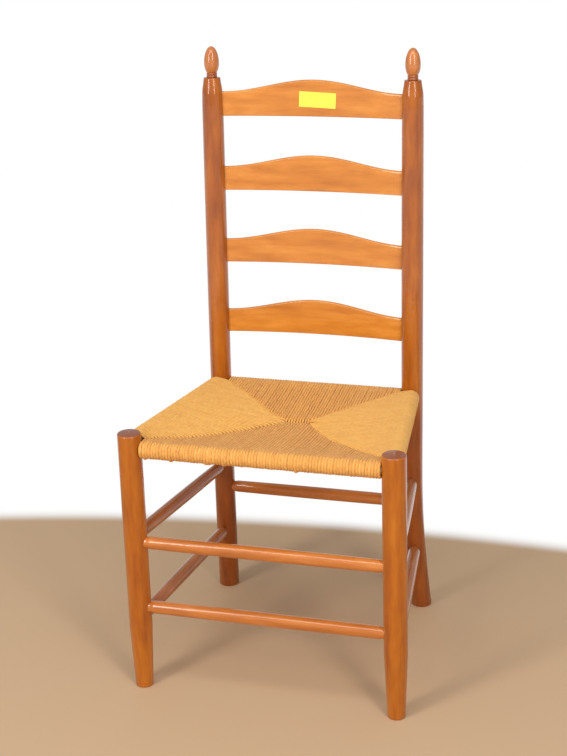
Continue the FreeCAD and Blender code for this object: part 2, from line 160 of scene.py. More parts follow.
@dataclass(frozen=True)
class MineralStreak:
    """Dark streak that minerals leave in the wood.

    Args:
        centre_mm: Middle of the streak.
        reach_mm: Half of its size along each axis.
        colour: Hex colour of the streak.
        fray: Weight of the grain noise that is added to the distance from its middle.
        edge: Frayed distances, as shares of its reach, between which it fades.
        strength: Share of the wood's own colour that it covers.
    """

    centre_mm: Point
    reach_mm: Point
    colour: str = "#7d3f1b"
    fray: float = 1.2
    edge: Pair = (0.9, 1.7)
    strength: float = 0.55

    def over(self, tree: Tree, place: Socket, streaks: Socket, colour: Socket) -> Socket:
        """Lay the streak over the wood's colour.

        Args:
            tree: Node tree that gets the nodes.
            place: Object coordinates, in metres.
            streaks: Grain noise that frays its edge.
            colour: Colour of the clean wood.

        Returns:
            Colour with the streak in it.
        """
        centre = tuple(value * MM for value in self.centre_mm)
        reach = tuple(value * MM for value in self.reach_mm)
        away = add_node(tree, "ShaderNodeVectorMath", {"operation": "SUBTRACT"}, i0=place, i1=centre)
        away = add_node(tree, "ShaderNodeVectorMath", {"operation": "DIVIDE"}, i0=away.outputs[0], i1=reach)
        away = add_node(tree, "ShaderNodeVectorMath", {"operation": "LENGTH"}, i0=away.outputs[0])
        frayed = add_node(
            tree, "ShaderNodeMath", {"operation": "MULTIPLY_ADD"},
            i0=streaks, i1=self.fray, i2=away.outputs["Value"]
        )
        amount = add_node(
            tree, "ShaderNodeMapRange", {"interpolation_type": "SMOOTHSTEP"},
            i0=frayed.outputs[0], i1=self.edge[0], i2=self.edge[1], i3=self.strength, i4=0.0
        )
        mix = add_node(
            tree, "ShaderNodeMix", {"data_type": "RGBA"},
            i0=amount.outputs[0], i6=colour, i7=linear(self.colour)
        )
        return mix.outputs[2]


@dataclass(frozen=True)
class LowDarkening:
    """Darker tone below a height. On the back posts it is painted shade under the seat.

    Args:
        height_mm: Height up to which the darkening is full.
        fade_mm: Length over which it fades out above that.
        colour: Hex colour that the wood's own is multiplied by.
    """

    height_mm: float
    fade_mm: float
    colour: str

    def over(self, tree: Tree, place: Socket, colour: Socket) -> Socket:
        """Lay the darkening over the wood's colour.

        Args:
            tree: Node tree that gets the nodes.
            place: Object coordinates, in metres.
            colour: Colour of the wood above the darkening.

        Returns:
            Colour with the darkening in it.
        """
        height = add_node(tree, "ShaderNodeSeparateXYZ", i0=place).outputs["Z"]
        amount = add_node(
            tree, "ShaderNodeMapRange", {"interpolation_type": "SMOOTHSTEP"}, i0=height,
            i1=self.height_mm * MM, i2=(self.height_mm + self.fade_mm) * MM, i3=1.0, i4=0.0
        )
        mix = add_node(
            tree, "ShaderNodeMix", {"data_type": "RGBA", "blend_type": "MULTIPLY"},
            i0=amount.outputs[0], i6=colour, i7=linear(self.colour)
        )
        return mix.outputs[2]


@dataclass(frozen=True)
class EndGrain:
    """End grain on faces that look up: faint rings and the pale mark of the lathe's centre.

    Args:
        dark: Hex colour of the darker rings.
        light: Hex colour of the lighter rings.
        axis_mm: Place of a post's axis. Its signs don't matter, so that one axis serves both posts.
        ring_mm: Width of a ring.
        bend: Turn, in radians, by which the sway of the grain bends the rings.
        tones: Shares of the light colour between which the rings go.
        mark: Hex colour of the lathe's mark.
        mark_mm: Radii between which the mark fades.
        upward: Upward parts of a face's normal between which the end grain comes in.
    """

    dark: str
    light: str
    axis_mm: Point
    ring_mm: float = 1.9
    bend: float = 6.0
    tones: Pair = (0.15, 0.85)
    mark: str = "#cfa27e"
    mark_mm: Pair = (0.7, 1.3)
    upward: Pair = (0.75, 0.9)

    def over(self, tree: Tree, place: Socket, sway: Socket, colour: Socket) -> Socket:
        """Lay the end grain over the long grain's colour.

        Args:
            tree: Node tree that gets the nodes.
            place: Object coordinates, in metres.
            sway: Slow noise that bends the rings.
            colour: Colour of the long grain.

        Returns:
            Colour with the end grain in it.
        """
        # Distance from the post's axis
        folded = add_node(tree, "ShaderNodeVectorMath", {"operation": "ABSOLUTE"}, i0=place).outputs[0]
        axis = tuple(abs(value) * MM for value in self.axis_mm)
        away = add_node(tree, "ShaderNodeVectorMath", {"operation": "SUBTRACT"}, i0=folded, i1=axis)
        level = add_node(
            tree, "ShaderNodeVectorMath", {"operation": "MULTIPLY"}, i0=away.outputs[0], i1=(1.0, 1.0, 0.0)
        )
        radius = add_node(
            tree, "ShaderNodeVectorMath", {"operation": "LENGTH"}, i0=level.outputs[0]
        ).outputs["Value"]
        # Rings
        rate = 2 * math.pi / (self.ring_mm * MM)
        turns = add_node(tree, "ShaderNodeMath", {"operation": "MULTIPLY"}, i0=radius, i1=rate)
        bent = add_node(
            tree, "ShaderNodeMath", {"operation": "MULTIPLY_ADD"}, i0=sway, i1=self.bend, i2=turns.outputs[0]
        )
        ring = add_node(tree, "ShaderNodeMath", {"operation": "SINE"}, i0=bent.outputs[0])
        share = add_node(
            tree, "ShaderNodeMapRange", i0=ring.outputs[0],
            i1=-1.0, i2=1.0, i3=self.tones[0], i4=self.tones[1]
        )
        rings = add_node(
            tree, "ShaderNodeValToRGB", stops=((0.0, self.dark), (1.0, self.light)), Fac=share.outputs[0]
        )
        # Mark of the lathe's centre
        near, far = (value * MM for value in self.mark_mm)
        mark = add_node(tree, "ShaderNodeMapRange", i0=radius, i1=near, i2=far, i3=1.0, i4=0.0)
        marked = add_node(
            tree, "ShaderNodeMix", {"data_type": "RGBA"},
            i0=mark.outputs[0], i6=rings.outputs["Color"], i7=linear(self.mark)
        )
        # Only on faces that look up
        normal = add_node(tree, "ShaderNodeTexCoord").outputs["Normal"]
        rise = add_node(tree, "ShaderNodeSeparateXYZ", i0=normal).outputs["Z"]
        amount = add_node(tree, "ShaderNodeMapRange", i0=rise, i1=self.upward[0], i2=self.upward[1])
        mix = add_node(
            tree, "ShaderNodeMix", {"data_type": "RGBA"},
            i0=amount.outputs[0], i6=colour, i7=marked.outputs[2]
        )
        return mix.outputs[2]


@dataclass(frozen=True)
class LacqueredMaple:
    """Turned or sawn hard maple under a warm tinted lacquer.

    The eye sees an orange body, soft darker streaks along the grain, fine pores and a thin clear
    gloss that gives long narrow highlights on round pieces. Each pattern has a size across the
    grain and a run along it, and pores and mottle have a share in the tone of the wood.
    """

    name: str
    dark: str
    middle: str
    light: str
    grain: Grain
    sway_mm: float = 60.0
    sway_run_mm: float = 160.0
    sway_reach_mm: float = 12.0
    streak_mm: float = 14.0
    streak_run_mm: float = 260.0
    pore_mm: float = 1.3
    pore_run_mm: float = 42.0
    pore_share: float = 0.3
    pore_depth_mm: float = 0.06
    pore_tones: Pair = (0.3, 0.7)
    mottle_mm: float = 15.0
    mottle_run_mm: float = 60.0
    mottle_share: float = 0.8
    tones: Pair = (0.74, 1.36)
    lacquer_ior: float = 1.5
    specular: float = 0.25
    roughness: float = 0.42
    pore_roughness: Pair = (0.06, -0.05)
    coat: float = 0.9
    coat_roughness: float = 0.07
    mineral_streak: Optional[MineralStreak] = None
    low_darkening: Optional[LowDarkening] = None
    end_grain: Optional[EndGrain] = None

    def scaled(self, tree: Tree, place: Socket, width_mm: float, run_mm: float) -> Socket:
        """Stretch the object's coordinates along the grain.

        Args:
            tree: Node tree that gets the node.
            place: Object coordinates, in metres.
            width_mm: Size of the pattern across the grain.
            run_mm: Size of the pattern along the grain.

        Returns:
            Coordinates in which the pattern has a size of 1.
        """
        scale = [1 / (width_mm * MM)] * 3
        scale[self.grain.value] = 1 / (run_mm * MM)
        node = add_node(tree, "ShaderNodeVectorMath", {"operation": "MULTIPLY"}, i0=place, i1=tuple(scale))
        return node.outputs[0]

    def make(self) -> bpy.types.Material:
        """Build the material.

        Returns:
            The finished material.
        """
        material, shader = start_material(
            self.name, self.roughness, IOR=self.lacquer_ior, Specular_IOR_Level=self.specular,
            Coat_Weight=self.coat, Coat_Roughness=self.coat_roughness, Coat_IOR=self.lacquer_ior
        )
        tree = material.node_tree
        place = add_node(tree, "ShaderNodeTexCoord").outputs["Object"]
        # Slow wander of the grain, so that the streaks aren't ruled lines
        sway_place = self.scaled(tree, place, self.sway_mm, self.sway_run_mm)
        sway = add_node(tree, "ShaderNodeTexNoise", i0=sway_place, Scale=1.0, Detail=1.0)
        swayed = add_node(
            tree, "ShaderNodeVectorMath", {"operation": "MULTIPLY_ADD"},
            i0=sway.outputs["Color"], i1=(self.sway_reach_mm * MM,) * 3, i2=place
        ).outputs[0]
        streak_place = self.scaled(tree, swayed, self.streak_mm, self.streak_run_mm)
        streaks = add_node(tree, "ShaderNodeTexNoise", i0=streak_place, Scale=1.0, Detail=4.0, Roughness=0.6)
        pore_place = self.scaled(tree, swayed, self.pore_mm, self.pore_run_mm)
        pores = add_node(tree, "ShaderNodeTexNoise", i0=pore_place, Scale=1.0, Detail=3.0, Roughness=0.6)
        mottle_place = self.scaled(tree, place, self.mottle_mm, self.mottle_run_mm)
        mottle = add_node(tree, "ShaderNodeTexNoise", i0=mottle_place, Scale=1.0, Detail=2.0)
        # The three patterns together give the tone
        mixed = add_node(
            tree, "ShaderNodeMath", {"operation": "MULTIPLY_ADD"},
            i0=pores.outputs["Fac"], i1=self.pore_share, i2=streaks.outputs["Fac"]
        )
        mixed = add_node(
            tree, "ShaderNodeMath", {"operation": "MULTIPLY_ADD"},
            i0=mottle.outputs["Fac"], i1=self.mottle_share, i2=mixed.outputs[0]
        )
        tone = add_node(tree, "ShaderNodeMapRange", i0=mixed.outputs[0], i1=self.tones[0], i2=self.tones[1])
        colour = add_node(
            tree, "ShaderNodeValToRGB", Fac=tone.outputs[0],
            stops=((0.0, self.dark), (0.5, self.middle), (1.0, self.light))
        ).outputs["Color"]
        if self.mineral_streak:
            colour = self.mineral_streak.over(tree, place, streaks.outputs["Fac"], colour)
        # Darker below a height: on the back posts this is painted shade under the seat
        if self.low_darkening:
            colour = self.low_darkening.over(tree, place, colour)
        if self.end_grain:
            colour = self.end_grain.over(tree, place, sway.outputs["Fac"], colour)
        tree.links.new(colour, shader.inputs["Base Color"])
        rough, smooth = (self.roughness + change for change in self.pore_roughness)
        roughness = add_node(
            tree, "ShaderNodeMapRange", i0=pores.outputs["Fac"],
            i1=self.pore_tones[0], i2=self.pore_tones[1], i3=rough, i4=smooth
        )
        tree.links.new(roughness.outputs[0], shader.inputs["Roughness"])
        bump = add_node(
            tree, "ShaderNodeBump",
            Strength=0.25, Distance=self.pore_depth_mm * MM, Height=pores.outputs["Fac"]
        )
        tree.links.new(bump.outputs[0], shader.inputs["Normal"])
        return material


@dataclass(frozen=True)
class RushCord:
    """Machine-twisted kraft paper fibre cord, wound damp and left to dry.

    The eye sees a dry golden tan cord with slanting creases from the twist, small changes of tone
    from cord to cord and no gloss to speak of. Fibres and flecks each have a number round the
    cord, a run along it, and a shift that sets each cord's pattern apart from the next one's.
    """

    name: str
    dark: str
    middle: str
    light: str
    twist_mm: float = 9.0
    crease_wander: float = 2.2
    crease_depth_mm: float = 0.16
    crease_share: float = 0.07
    fibres_round: float = 7.0
    fibre_run_mm: float = 4.2
    fibre_shift: float = 31.0
    fibre_height: float = 1.1
    flecks_round: float = 0.8
    fleck_run_mm: float = 16.0
    fleck_shift: float = 57.0
    own_share: float = 0.14
    tones: Pair = (0.02, 1.12)
    roughness: float = 0.72

    def make(self) -> bpy.types.Material:
        """Build the material, which reads the lay of each cord from its mesh.

        Returns:
            The finished material.
        """
        material, shader = start_material(
            self.name, self.roughness, IOR=1.45, Specular_IOR_Level=0.3,
            Sheen_Weight=0.12, Sheen_Roughness=0.5
        )
        tree = material.node_tree
        # Turn round the cord, metres along it, and a number that differs from cord to cord
        lay = add_node(tree, "ShaderNodeAttribute", {"attribute_name": "cord_lay"}).outputs["Vector"]
        own = add_node(tree, "ShaderNodeSeparateXYZ", i0=lay).outputs["Z"]
        slant = add_node(
            tree, "ShaderNodeVectorMath", {"operation": "DOT_PRODUCT"}, i0=lay,
            i1=(2 * math.pi, 2 * math.pi / (self.twist_mm * MM), 0.0)
        )
        fibre_place = add_node(
            tree, "ShaderNodeVectorMath", {"operation": "MULTIPLY"}, i0=lay,
            i1=(self.fibres_round, 1 / (self.fibre_run_mm * MM), self.fibre_shift)
        )
        fibres = add_node(
            tree, "ShaderNodeTexNoise", i0=fibre_place.outputs[0], Scale=1.0, Detail=3.0, Roughness=0.65
        )
        phase = add_node(
            tree, "ShaderNodeMath", {"operation": "MULTIPLY_ADD"},
            i0=fibres.outputs["Fac"], i1=self.crease_wander, i2=slant.outputs["Value"]
        )
        crease = add_node(tree, "ShaderNodeMath", {"operation": "SINE"}, i0=phase.outputs[0])
        fleck_place = add_node(
            tree, "ShaderNodeVectorMath", {"operation": "MULTIPLY"}, i0=lay,
            i1=(self.flecks_round, 1 / (self.fleck_run_mm * MM), self.fleck_shift)
        )
        flecks = add_node(
            tree, "ShaderNodeTexNoise", i0=fleck_place.outputs[0], Scale=1.0, Detail=3.0, Roughness=0.6
        )
        # Flecks, the cord's own number and the creases together give the tone
        mixed = add_node(
            tree, "ShaderNodeMath", {"operation": "MULTIPLY_ADD"},
            i0=own, i1=self.own_share, i2=flecks.outputs["Fac"]
        )
        mixed = add_node(
            tree, "ShaderNodeMath", {"operation": "MULTIPLY_ADD"},
            i0=crease.outputs[0], i1=self.crease_share, i2=mixed.outputs[0]
        )
        tone = add_node(tree, "ShaderNodeMapRange", i0=mixed.outputs[0], i1=self.tones[0], i2=self.tones[1])
        colour = add_node(
            tree, "ShaderNodeValToRGB", Fac=tone.outputs[0],
            stops=((0.0, self.dark), (0.5, self.middle), (1.0, self.light))
        )
        tree.links.new(colour.outputs["Color"], shader.inputs["Base Color"])
        height = add_node(
            tree, "ShaderNodeMath", {"operation": "MULTIPLY_ADD"},
            i0=fibres.outputs["Fac"], i1=self.fibre_height, i2=crease.outputs[0]
        )
        bump = add_node(
            tree, "ShaderNodeBump",
            Strength=0.7, Distance=self.crease_depth_mm * MM, Height=height.outputs[0]
        )
        tree.links.new(bump.outputs[0], shader.inputs["Normal"])
        return material


@dataclass(frozen=True)
class PlainStock:
    """Uncoated stock with an even, slightly clouded face: paper, grey card, bare birch or blued steel.

    The eye sees one colour with faint clouds, and a fine tooth where light grazes it.
    """

    name: str
    dark: str
    light: str
    cloud_mm: float
    tooth_mm: float
    tooth_depth_mm: float
    roughness: float
    metallic: float = 0.0
    cloud_tones: Pair = (0.3, 0.7)

    def make(self) -> bpy.types.Material:
        """Build the material.

        Returns:
            The finished material.
        """
        material, shader = start_material(self.name, self.roughness, Metallic=self.metallic)
        tree = material.node_tree
        place = add_node(tree, "ShaderNodeTexCoord").outputs["Object"]
        clouds = add_node(tree, "ShaderNodeTexNoise", i0=place, Scale=1 / (self.cloud_mm * MM), Detail=3.0)
        tone = add_node(
            tree, "ShaderNodeMapRange",
            i0=clouds.outputs["Fac"], i1=self.cloud_tones[0], i2=self.cloud_tones[1]
        )
        colour = add_node(
            tree, "ShaderNodeValToRGB", stops=((0.0, self.dark), (1.0, self.light)), Fac=tone.outputs[0]
        )
        tree.links.new(colour.outputs["Color"], shader.inputs["Base Color"])
        tooth = add_node(tree, "ShaderNodeTexNoise", i0=place, Scale=1 / (self.tooth_mm * MM), Detail=2.0)
        bump = add_node(
            tree, "ShaderNodeBump",
            Strength=0.5, Distance=self.tooth_depth_mm * MM, Height=tooth.outputs["Fac"]
        )
        tree.links.new(bump.outputs[0], shader.inputs["Normal"])
        return material


@dataclass(frozen=True)
class PaintedFloor:
    """Matt painted boards under the chair, and plain white past an oval round it.

    The eye sees an even sandy floor that takes the chair's shadow. Places are in metres.

    Args:
        name: Name of the material.
        near: Hex colour of the boards.
        far: Hex colour past the oval, which isn't seen but throws light back on the chair.
        roughness: Roughness of the paint.
        centre: Middle of the oval.
        radii: Its radii. The third has no effect, since the floor is flat.
        fade: Shares of the radii between which the boards give way to white.
    """

    name: str = "painted_board_floor"
    near: str = "#c8aa89"
    far: str = "#f4f1ec"
    roughness: float = 0.6
    centre: Point = (0.15, -0.85, 0.0)
    radii: Point = (2.2, 1.3, 1.0)
    fade: Pair = (1.0, 1.05)

    def make(self) -> bpy.types.Material:
        """Build the material.

        Returns:
            The finished material.
        """
        material, shader = start_material(self.name, self.roughness, Specular_IOR_Level=0.2)
        tree = material.node_tree
        place = add_node(tree, "ShaderNodeTexCoord").outputs["Object"]
        away = add_node(tree, "ShaderNodeVectorMath", {"operation": "SUBTRACT"}, i0=place, i1=self.centre)
        away = add_node(
            tree, "ShaderNodeVectorMath", {"operation": "DIVIDE"}, i0=away.outputs[0], i1=self.radii
        )
        away = add_node(tree, "ShaderNodeVectorMath", {"operation": "LENGTH"}, i0=away.outputs[0])
        pale = add_node(
            tree, "ShaderNodeMapRange", {"interpolation_type": "SMOOTHSTEP"},
            i0=away.outputs["Value"], i1=self.fade[0], i2=self.fade[1]
        ).outputs[0]
        colour = add_node(
            tree, "ShaderNodeMix", {"data_type": "RGBA"}, i0=pale, i6=linear(self.near), i7=linear(self.far)
        )
        tree.links.new(colour.outputs[2], shader.inputs["Base Color"])
        # Past the oval the floor shows as plain white to the eye and in reflections
        path = add_node(tree, "ShaderNodeLightPath")
        seen = add_node(
            tree, "ShaderNodeMath", {"operation": "MAXIMUM"},
            i0=path.outputs["Is Camera Ray"], i1=path.outputs["Is Glossy Ray"]
        )
        amount = add_node(tree, "ShaderNodeMath", {"operation": "MULTIPLY"}, i0=seen.outputs[0], i1=pale)
        white = add_node(tree, "ShaderNodeEmission", Color=WHITE, Strength=1.0)
        mix = add_node(
            tree, "ShaderNodeMixShader", i0=amount.outputs[0], i1=shader.outputs[0], i2=white.outputs[0]
        )
        output = next(node for node in tree.nodes if node.type == "OUTPUT_MATERIAL")
        tree.links.new(mix.outputs[0], output.inputs["Surface"])
        return material


# Lacquered maple of the two bent back posts: redder than the slats, with a mineral streak in the right one,
# and painted shade under the seat
BACK_POST_MAPLE = LacqueredMaple(
    "lacquered_maple_back_posts", "#904604", "#aa5906", "#bb6a14", Grain.UPRIGHT,
    mineral_streak=MineralStreak(centre_mm=(172.0, 145.0, 806.0), reach_mm=(9.0, 14.0, 40.0)),
    low_darkening=LowDarkening(360.0, 90.0, "#dbcbc4")
)
# Lacquered maple of the turned front posts, whose end grain on top drinks more stain
FRONT_POST_MAPLE = LacqueredMaple(
    "lacquered_maple_front_posts", "#9c4c04", "#b25f06", "#c27014", Grain.UPRIGHT,
    end_grain=EndGrain("#7d4226", "#95573a", axis_mm=(215.0, -189.9, 0.0))
)
# Lacquered maple of the finials, paler because they are turned from another billet
FINIAL_MAPLE = LacqueredMaple(
    "lacquered_maple_finials", "#b06630", "#c0743a", "#d0884c", Grain.UPRIGHT, streak_mm=8.0,
    low_darkening=LowDarkening(973.0, 4.0, "#cdb7b0")
)
# Lacquered maple of the sawn and bent slats, the brightest orange on the chair
SLAT_MAPLE = LacqueredMaple(
    "lacquered_maple_slats", "#bd6e1c", "#d08026", "#de9138", Grain.ACROSS, pore_run_mm=60.0
)
# Lacquered maple of the front and back rungs, the glossiest wood on the chair
RUNG_MAPLE = LacqueredMaple(
    "lacquered_maple_rungs", "#ae6020", "#c4722c", "#d6863f", Grain.ACROSS, coat=1.0
)
# Lacquered maple of the side rungs, with the grain from front to back
SIDE_RUNG_MAPLE = LacqueredMaple(
    "lacquered_maple_side_rungs", "#985522", "#a86330", "#b87340", Grain.DEPTH
)
# Bare birch of the seat rails, which the cord hides
RAIL_BIRCH = PlainStock("bare_birch_rails", "#c9a57a", "#dcbb90", 22.0, 0.8, 0.05, 0.7)
# Grey-brown pasteboard between the layers of cord
PASTEBOARD = PlainStock("grey_pasteboard", "#8f7a5d", "#a08a6c", 18.0, 0.6, 0.05, 0.9)
# Blued cut tacks, which give a dull grey gleam
BLUED_STEEL = PlainStock("blued_steel_tacks", "#3d4046", "#565a61", 2.0, 0.3, 0.02, 0.42, metallic=1.0)
# Bright yellow label stock, blank
LABEL_PAPER = PlainStock("yellow_label_paper", "#f5f04a", "#fdf95c", 9.0, 0.25, 0.02, 0.55)
# Paper fibre cord of the front and back panels, browner because their tops are worn and gap a little
END_CORD = RushCord("paper_fibre_rush_ends", "#c48640", "#e3a656", "#f6c06c")
# Paper fibre cord of the side panels, packed tight and yellower
SIDE_CORD = RushCord("paper_fibre_rush_sides", "#c98f44", "#e0a856", "#ecbb68")


@dataclass
class Rail:
    """Axis of the hidden rail that a panel is wound over.

    Args:
        start: Point of the axis at one post's axis, in mm.
        end: Point of the axis at the other post's axis, in mm.
    """

    start: Point
    end: Point

    def at(self, axis: int, value: float) -> np.ndarray:
        """Point of the axis where one coordinate has a value.

        Args:
            axis: Index of the coordinate.
            value: Its value, in mm.

        Returns:
            The point, in mm.
        """
        start, end = np.array(self.start), np.array(self.end)
        return start + (end - start) * (value - start[axis]) / (end[axis] - start[axis])


@dataclass(frozen=True)
class SeamEnd:
    """How a cord ends at its seam. Lengths are in mm.

    Args:
        rise: Height of the cord over the seat's surface, or less than 0 for one that lies under.
        drop: Fall of its line before the seam.
        run: Length of that fall.
        tail: Points past the seam, as distance and height, where it dives out of sight.
    """

    rise: float
    drop: float
    run: float
    tail: Tuple[Pair, ...]


@dataclass(frozen=True)
class Winding:
    """How one kind of panel is wound. Lengths are in mm.

    Args:
        lift: Least and most extra radius of a cord's wrap.
        hang: Least and most extra sag under the rail.
        drift_reach: Reach of a cord's slow sideways drift.
        stray: Most that a cord lies off its place.
        flatness: Power of the cord's section: 1 is an ellipse and less is squarer.
        seam_end: How its cords end at the seam.
    """

    lift: Pair
    hang: Pair
    drift_reach: float
    stray: float
    flatness: float
    seam_end: SeamEnd


@dataclass
class RushSeat:
    """Rush seat, wound cord by cord over four rails. Lengths are in mm.

    At each corner a cord goes over the front or back rail first, then over the side rail, so the
    side cords cross on top of the others and dive between them along each seam. A few of the end
    cords hang loose under the seat.

    Seams are places across the seat and depths behind the front rail. The tables of top and bottom
    give the seat's surface along a seam: the share of the way from its corner to where the seams
    meet, and the height. Cord widths are shares of the pitch, and narrowings shares of the width.
    """

    front_y: float = -189.9
    cord_d: float = 4.8
    rail_r: float = 9.5
    rails: Dict[Edge, Rail] = field(default_factory=lambda: {
        Edge.FRONT: Rail((-215.15, 0.0, 433.0), (215.15, 0.0, 433.0)),
        Edge.BACK: Rail((-175.2, 350.0, 420.0), (175.2, 350.0, 420.0)),
        Edge.LEFT: Rail((-215.1, 0.0, 443.0), (-175.2, 350.3, 424.5)),
        Edge.RIGHT: Rail((215.1, 0.0, 443.0), (175.2, 350.3, 424.5)),
    })
    meeting_depth: Dict[Edge, float] = field(default_factory=lambda: {Edge.LEFT: 197.0, Edge.RIGHT: 200.5})
    seams: Dict[Edge, Tuple[Pair, ...]] = field(default_factory=lambda: {
        Edge.LEFT: (
            (-195.8, 19.3), (-50.0, 160.0), (-11.0, 195.0), (-11.0, 199.0), (-18.0, 203.5),
            (-40.0, 213.0), (-57.0, 233.5), (-76.0, 255.0), (-156.6, 331.3),
        ),
        Edge.RIGHT: (
            (195.8, 19.3), (125.0, 91.0), (80.0, 131.0), (50.0, 168.0), (28.0, 200.0), (28.0, 201.0),
            (41.0, 216.0), (156.6, 331.3),
        ),
    })
    front_top: Tuple[Pair, ...] = (
        (0.0, 448.0), (0.14, 440.0), (0.34, 430.5), (0.54, 425.0), (0.74, 421.8), (1.0, 420.6)
    )
    back_top: Tuple[Pair, ...] = ((0.0, 436.0), (0.45, 430.5), (0.7, 426.8), (1.0, 421.6))
    front_bottom: Tuple[Pair, ...] = ((0.0, 420.5), (0.3, 414.0), (0.6, 409.5), (1.0, 406.5))
    back_bottom: Tuple[Pair, ...] = ((0.0, 408.0), (0.5, 406.6), (1.0, 406.2))
    fall_power: float = 1.35

    end_cords: Dict[Edge, int] = field(default_factory=lambda: {Edge.FRONT: 80, Edge.BACK: 66})
    end_winding: Winding = Winding(
        lift=(-0.12, 0.22), hang=(-0.2, 0.4), drift_reach=0.15, stray=0.2, flatness=0.9,
        seam_end=SeamEnd(rise=-0.6, drop=3.4, run=7.0, tail=((2.6, -4.6), (5.2, -6.2)))
    )
    end_width: Pair = (0.92, 0.96)
    end_narrowing: float = 0.2
    end_narrowing_run: float = 10.0
    roll_widening: float = 0.14
    roll_widening_run: float = 30.0
    loose_share: float = 0.08
    loose_hang: float = 2.2

    side_cords: int = 66
    side_winding: Winding = Winding(
        lift=(-0.08, 0.12), hang=(-0.2, 0.3), drift_reach=0.1, stray=0.1, flatness=0.82,
        seam_end=SeamEnd(
            rise=0.7, drop=3.0, run=9.0, tail=((1.6, -3.5), (3.2, -4.8), (4.2, -6.9), (4.6, -9.4))
        )
    )
    side_width: float = 1.1
    side_narrowing: float = 0.28
    seam_bend: float = 4.6
    seam_bend_run: float = 15.0
    seam_bend_limit: float = 1.2
    full_bend_reach: float = 40.0

    drift_rate: Pair = (0.1, 0.3)
    drift_start: Pair = (0.0, 6.0)
    lump: float = 0.015
    lump_lengths: Pair = (3.9, 1.9)
    lay_shift: float = 20.0
    facets: int = 10
    run_step: float = 5.0
    least_steps: int = 3
    wrap_step: float = math.radians(13)
    seed: int = 20

    def seam_height(self, edge: Edge, depth: float, top: bool) -> float:
        """Height of the seat's surface on a seam.

        Args:
            edge: Edge.FRONT or Edge.BACK, whichever corner the seam starts from.
            depth: Depth of the place behind the front rail, in mm.
            top: Whether it is the upper face.

        Returns:
            Height in mm.
        """
        table = {
            (Edge.FRONT, True): self.front_top, (Edge.FRONT, False): self.front_bottom,
            (Edge.BACK, True): self.back_top, (Edge.BACK, False): self.back_bottom,
        }[edge, top]
        start = self.seams[Edge.LEFT][0 if edge is Edge.FRONT else -1][1]
        share = (depth - start) / (self.meeting_depth[Edge.LEFT] - start)
        return float(np.interp(share, [row[0] for row in table], [row[1] for row in table]))

    def end_seam(self, edge: Edge) -> List[Pair]:
        """Line where the front or back panel ends, from one corner to the other.

        Args:
            edge: Edge.FRONT or Edge.BACK.

        Returns:
            Places across the seat and their depths behind the front rail, in mm, in order across.
        """
        rows: List[Pair] = []
        for side in (Edge.LEFT, Edge.RIGHT):
            meeting = self.meeting_depth[side]
            rows += [row for row in self.seams[side] if (row[1] < meeting) == (edge is Edge.FRONT)]
        return sorted(rows)

    def half(
        self, rail_z: float, reach: float, face_z: float, way: int, wrap: float, end: SeamEnd
    ) -> Tuple[float, np.ndarray]:
        """Path of one cord on one face of the seat, from where it leaves the wrap to its tail.

        Args:
            rail_z: Height of the rail's axis.
            reach: Distance from the rail's axis to the seam.
            face_z: Height of the cord's line at the seam, without its drop.
            way: 1 for the upper face and -1 for the lower.
            wrap: Radius of the cord's line round the rail.
            end: How the cord ends at the seam.

        Returns:
            Turn of the wrap at which the cord leaves it, in radians, and points as distance inward
            from the rail's axis and height, in mm.
        """
        fall = (rail_z + way * wrap - face_z) * way
        turn = math.atan2(self.fall_power * fall, reach)
        leave = wrap * math.sin(turn)
        leave_z = rail_z + way * wrap * math.cos(turn)
        run = reach - leave
        steps = max(self.least_steps, round(run / self.run_step))
        share = np.linspace(0, 1, steps + 1)
        far = leave + run * share
        high = face_z + (leave_z - face_z) * (1 - share) ** self.fall_power
        dip = end.drop * np.clip((far - (reach - end.run)) / end.run, 0, 1) ** 2
        tail = np.array(end.tail)
        return turn, np.vstack([
            np.column_stack([far, high - way * dip]),
            np.column_stack([reach + tail[:, 0], face_z + way * tail[:, 1]]),
        ])

    def section(
        self, rail_z: float, reach: float, top_z: float, bottom_z: float,
        lift: float, hang: float, end: SeamEnd
    ) -> np.ndarray:
        """Path of one cord in its own plane, from the top seam over the rail to the bottom seam.

        Args:
            rail_z: Height of the rail's axis.
            reach: Distance from the rail's axis to the seam.
            top_z: Height of the upper face at the seam.
            bottom_z: Height of the lower face at the seam.
            lift: Extra radius of the wrap.
            hang: Extra sag under the rail.
            end: How the cord ends at the seam.

        Returns:
            Points as distance inward from the rail's axis and height, in mm.
        """
        cord_r = self.cord_d / 2
        wrap = self.rail_r + cord_r + lift
        top_turn, top = self.half(rail_z, reach, top_z - cord_r + end.rise, 1, wrap, end)
        bottom_turn, bottom = self.half(rail_z, reach, bottom_z + cord_r - end.rise, -1, wrap, end)
        span = math.pi + top_turn + bottom_turn
        count = math.ceil(span / self.wrap_step)
        angles = top_turn - np.linspace(0, span, count + 1)[1:-1]
        under = np.clip(-np.cos(angles), 0, 1)
        around = np.column_stack([wrap * np.sin(angles), rail_z + wrap * np.cos(angles) - hang * under])
        return np.vstack([top[::-1], around, bottom])

    def drift(self, count: int, reach: float, rng: np.random.Generator) -> np.ndarray:
        """Slow sideways drift of a cord.

        Args:
            count: Number of points on the cord.
            reach: Most that it drifts to either side, in mm.
            rng: Source of its rate and start.

        Returns:
            Drift at each point, in mm.
        """
        rate = rng.uniform(*self.drift_rate)
        return reach * np.sin(np.arange(count) * rate + rng.uniform(*self.drift_start))

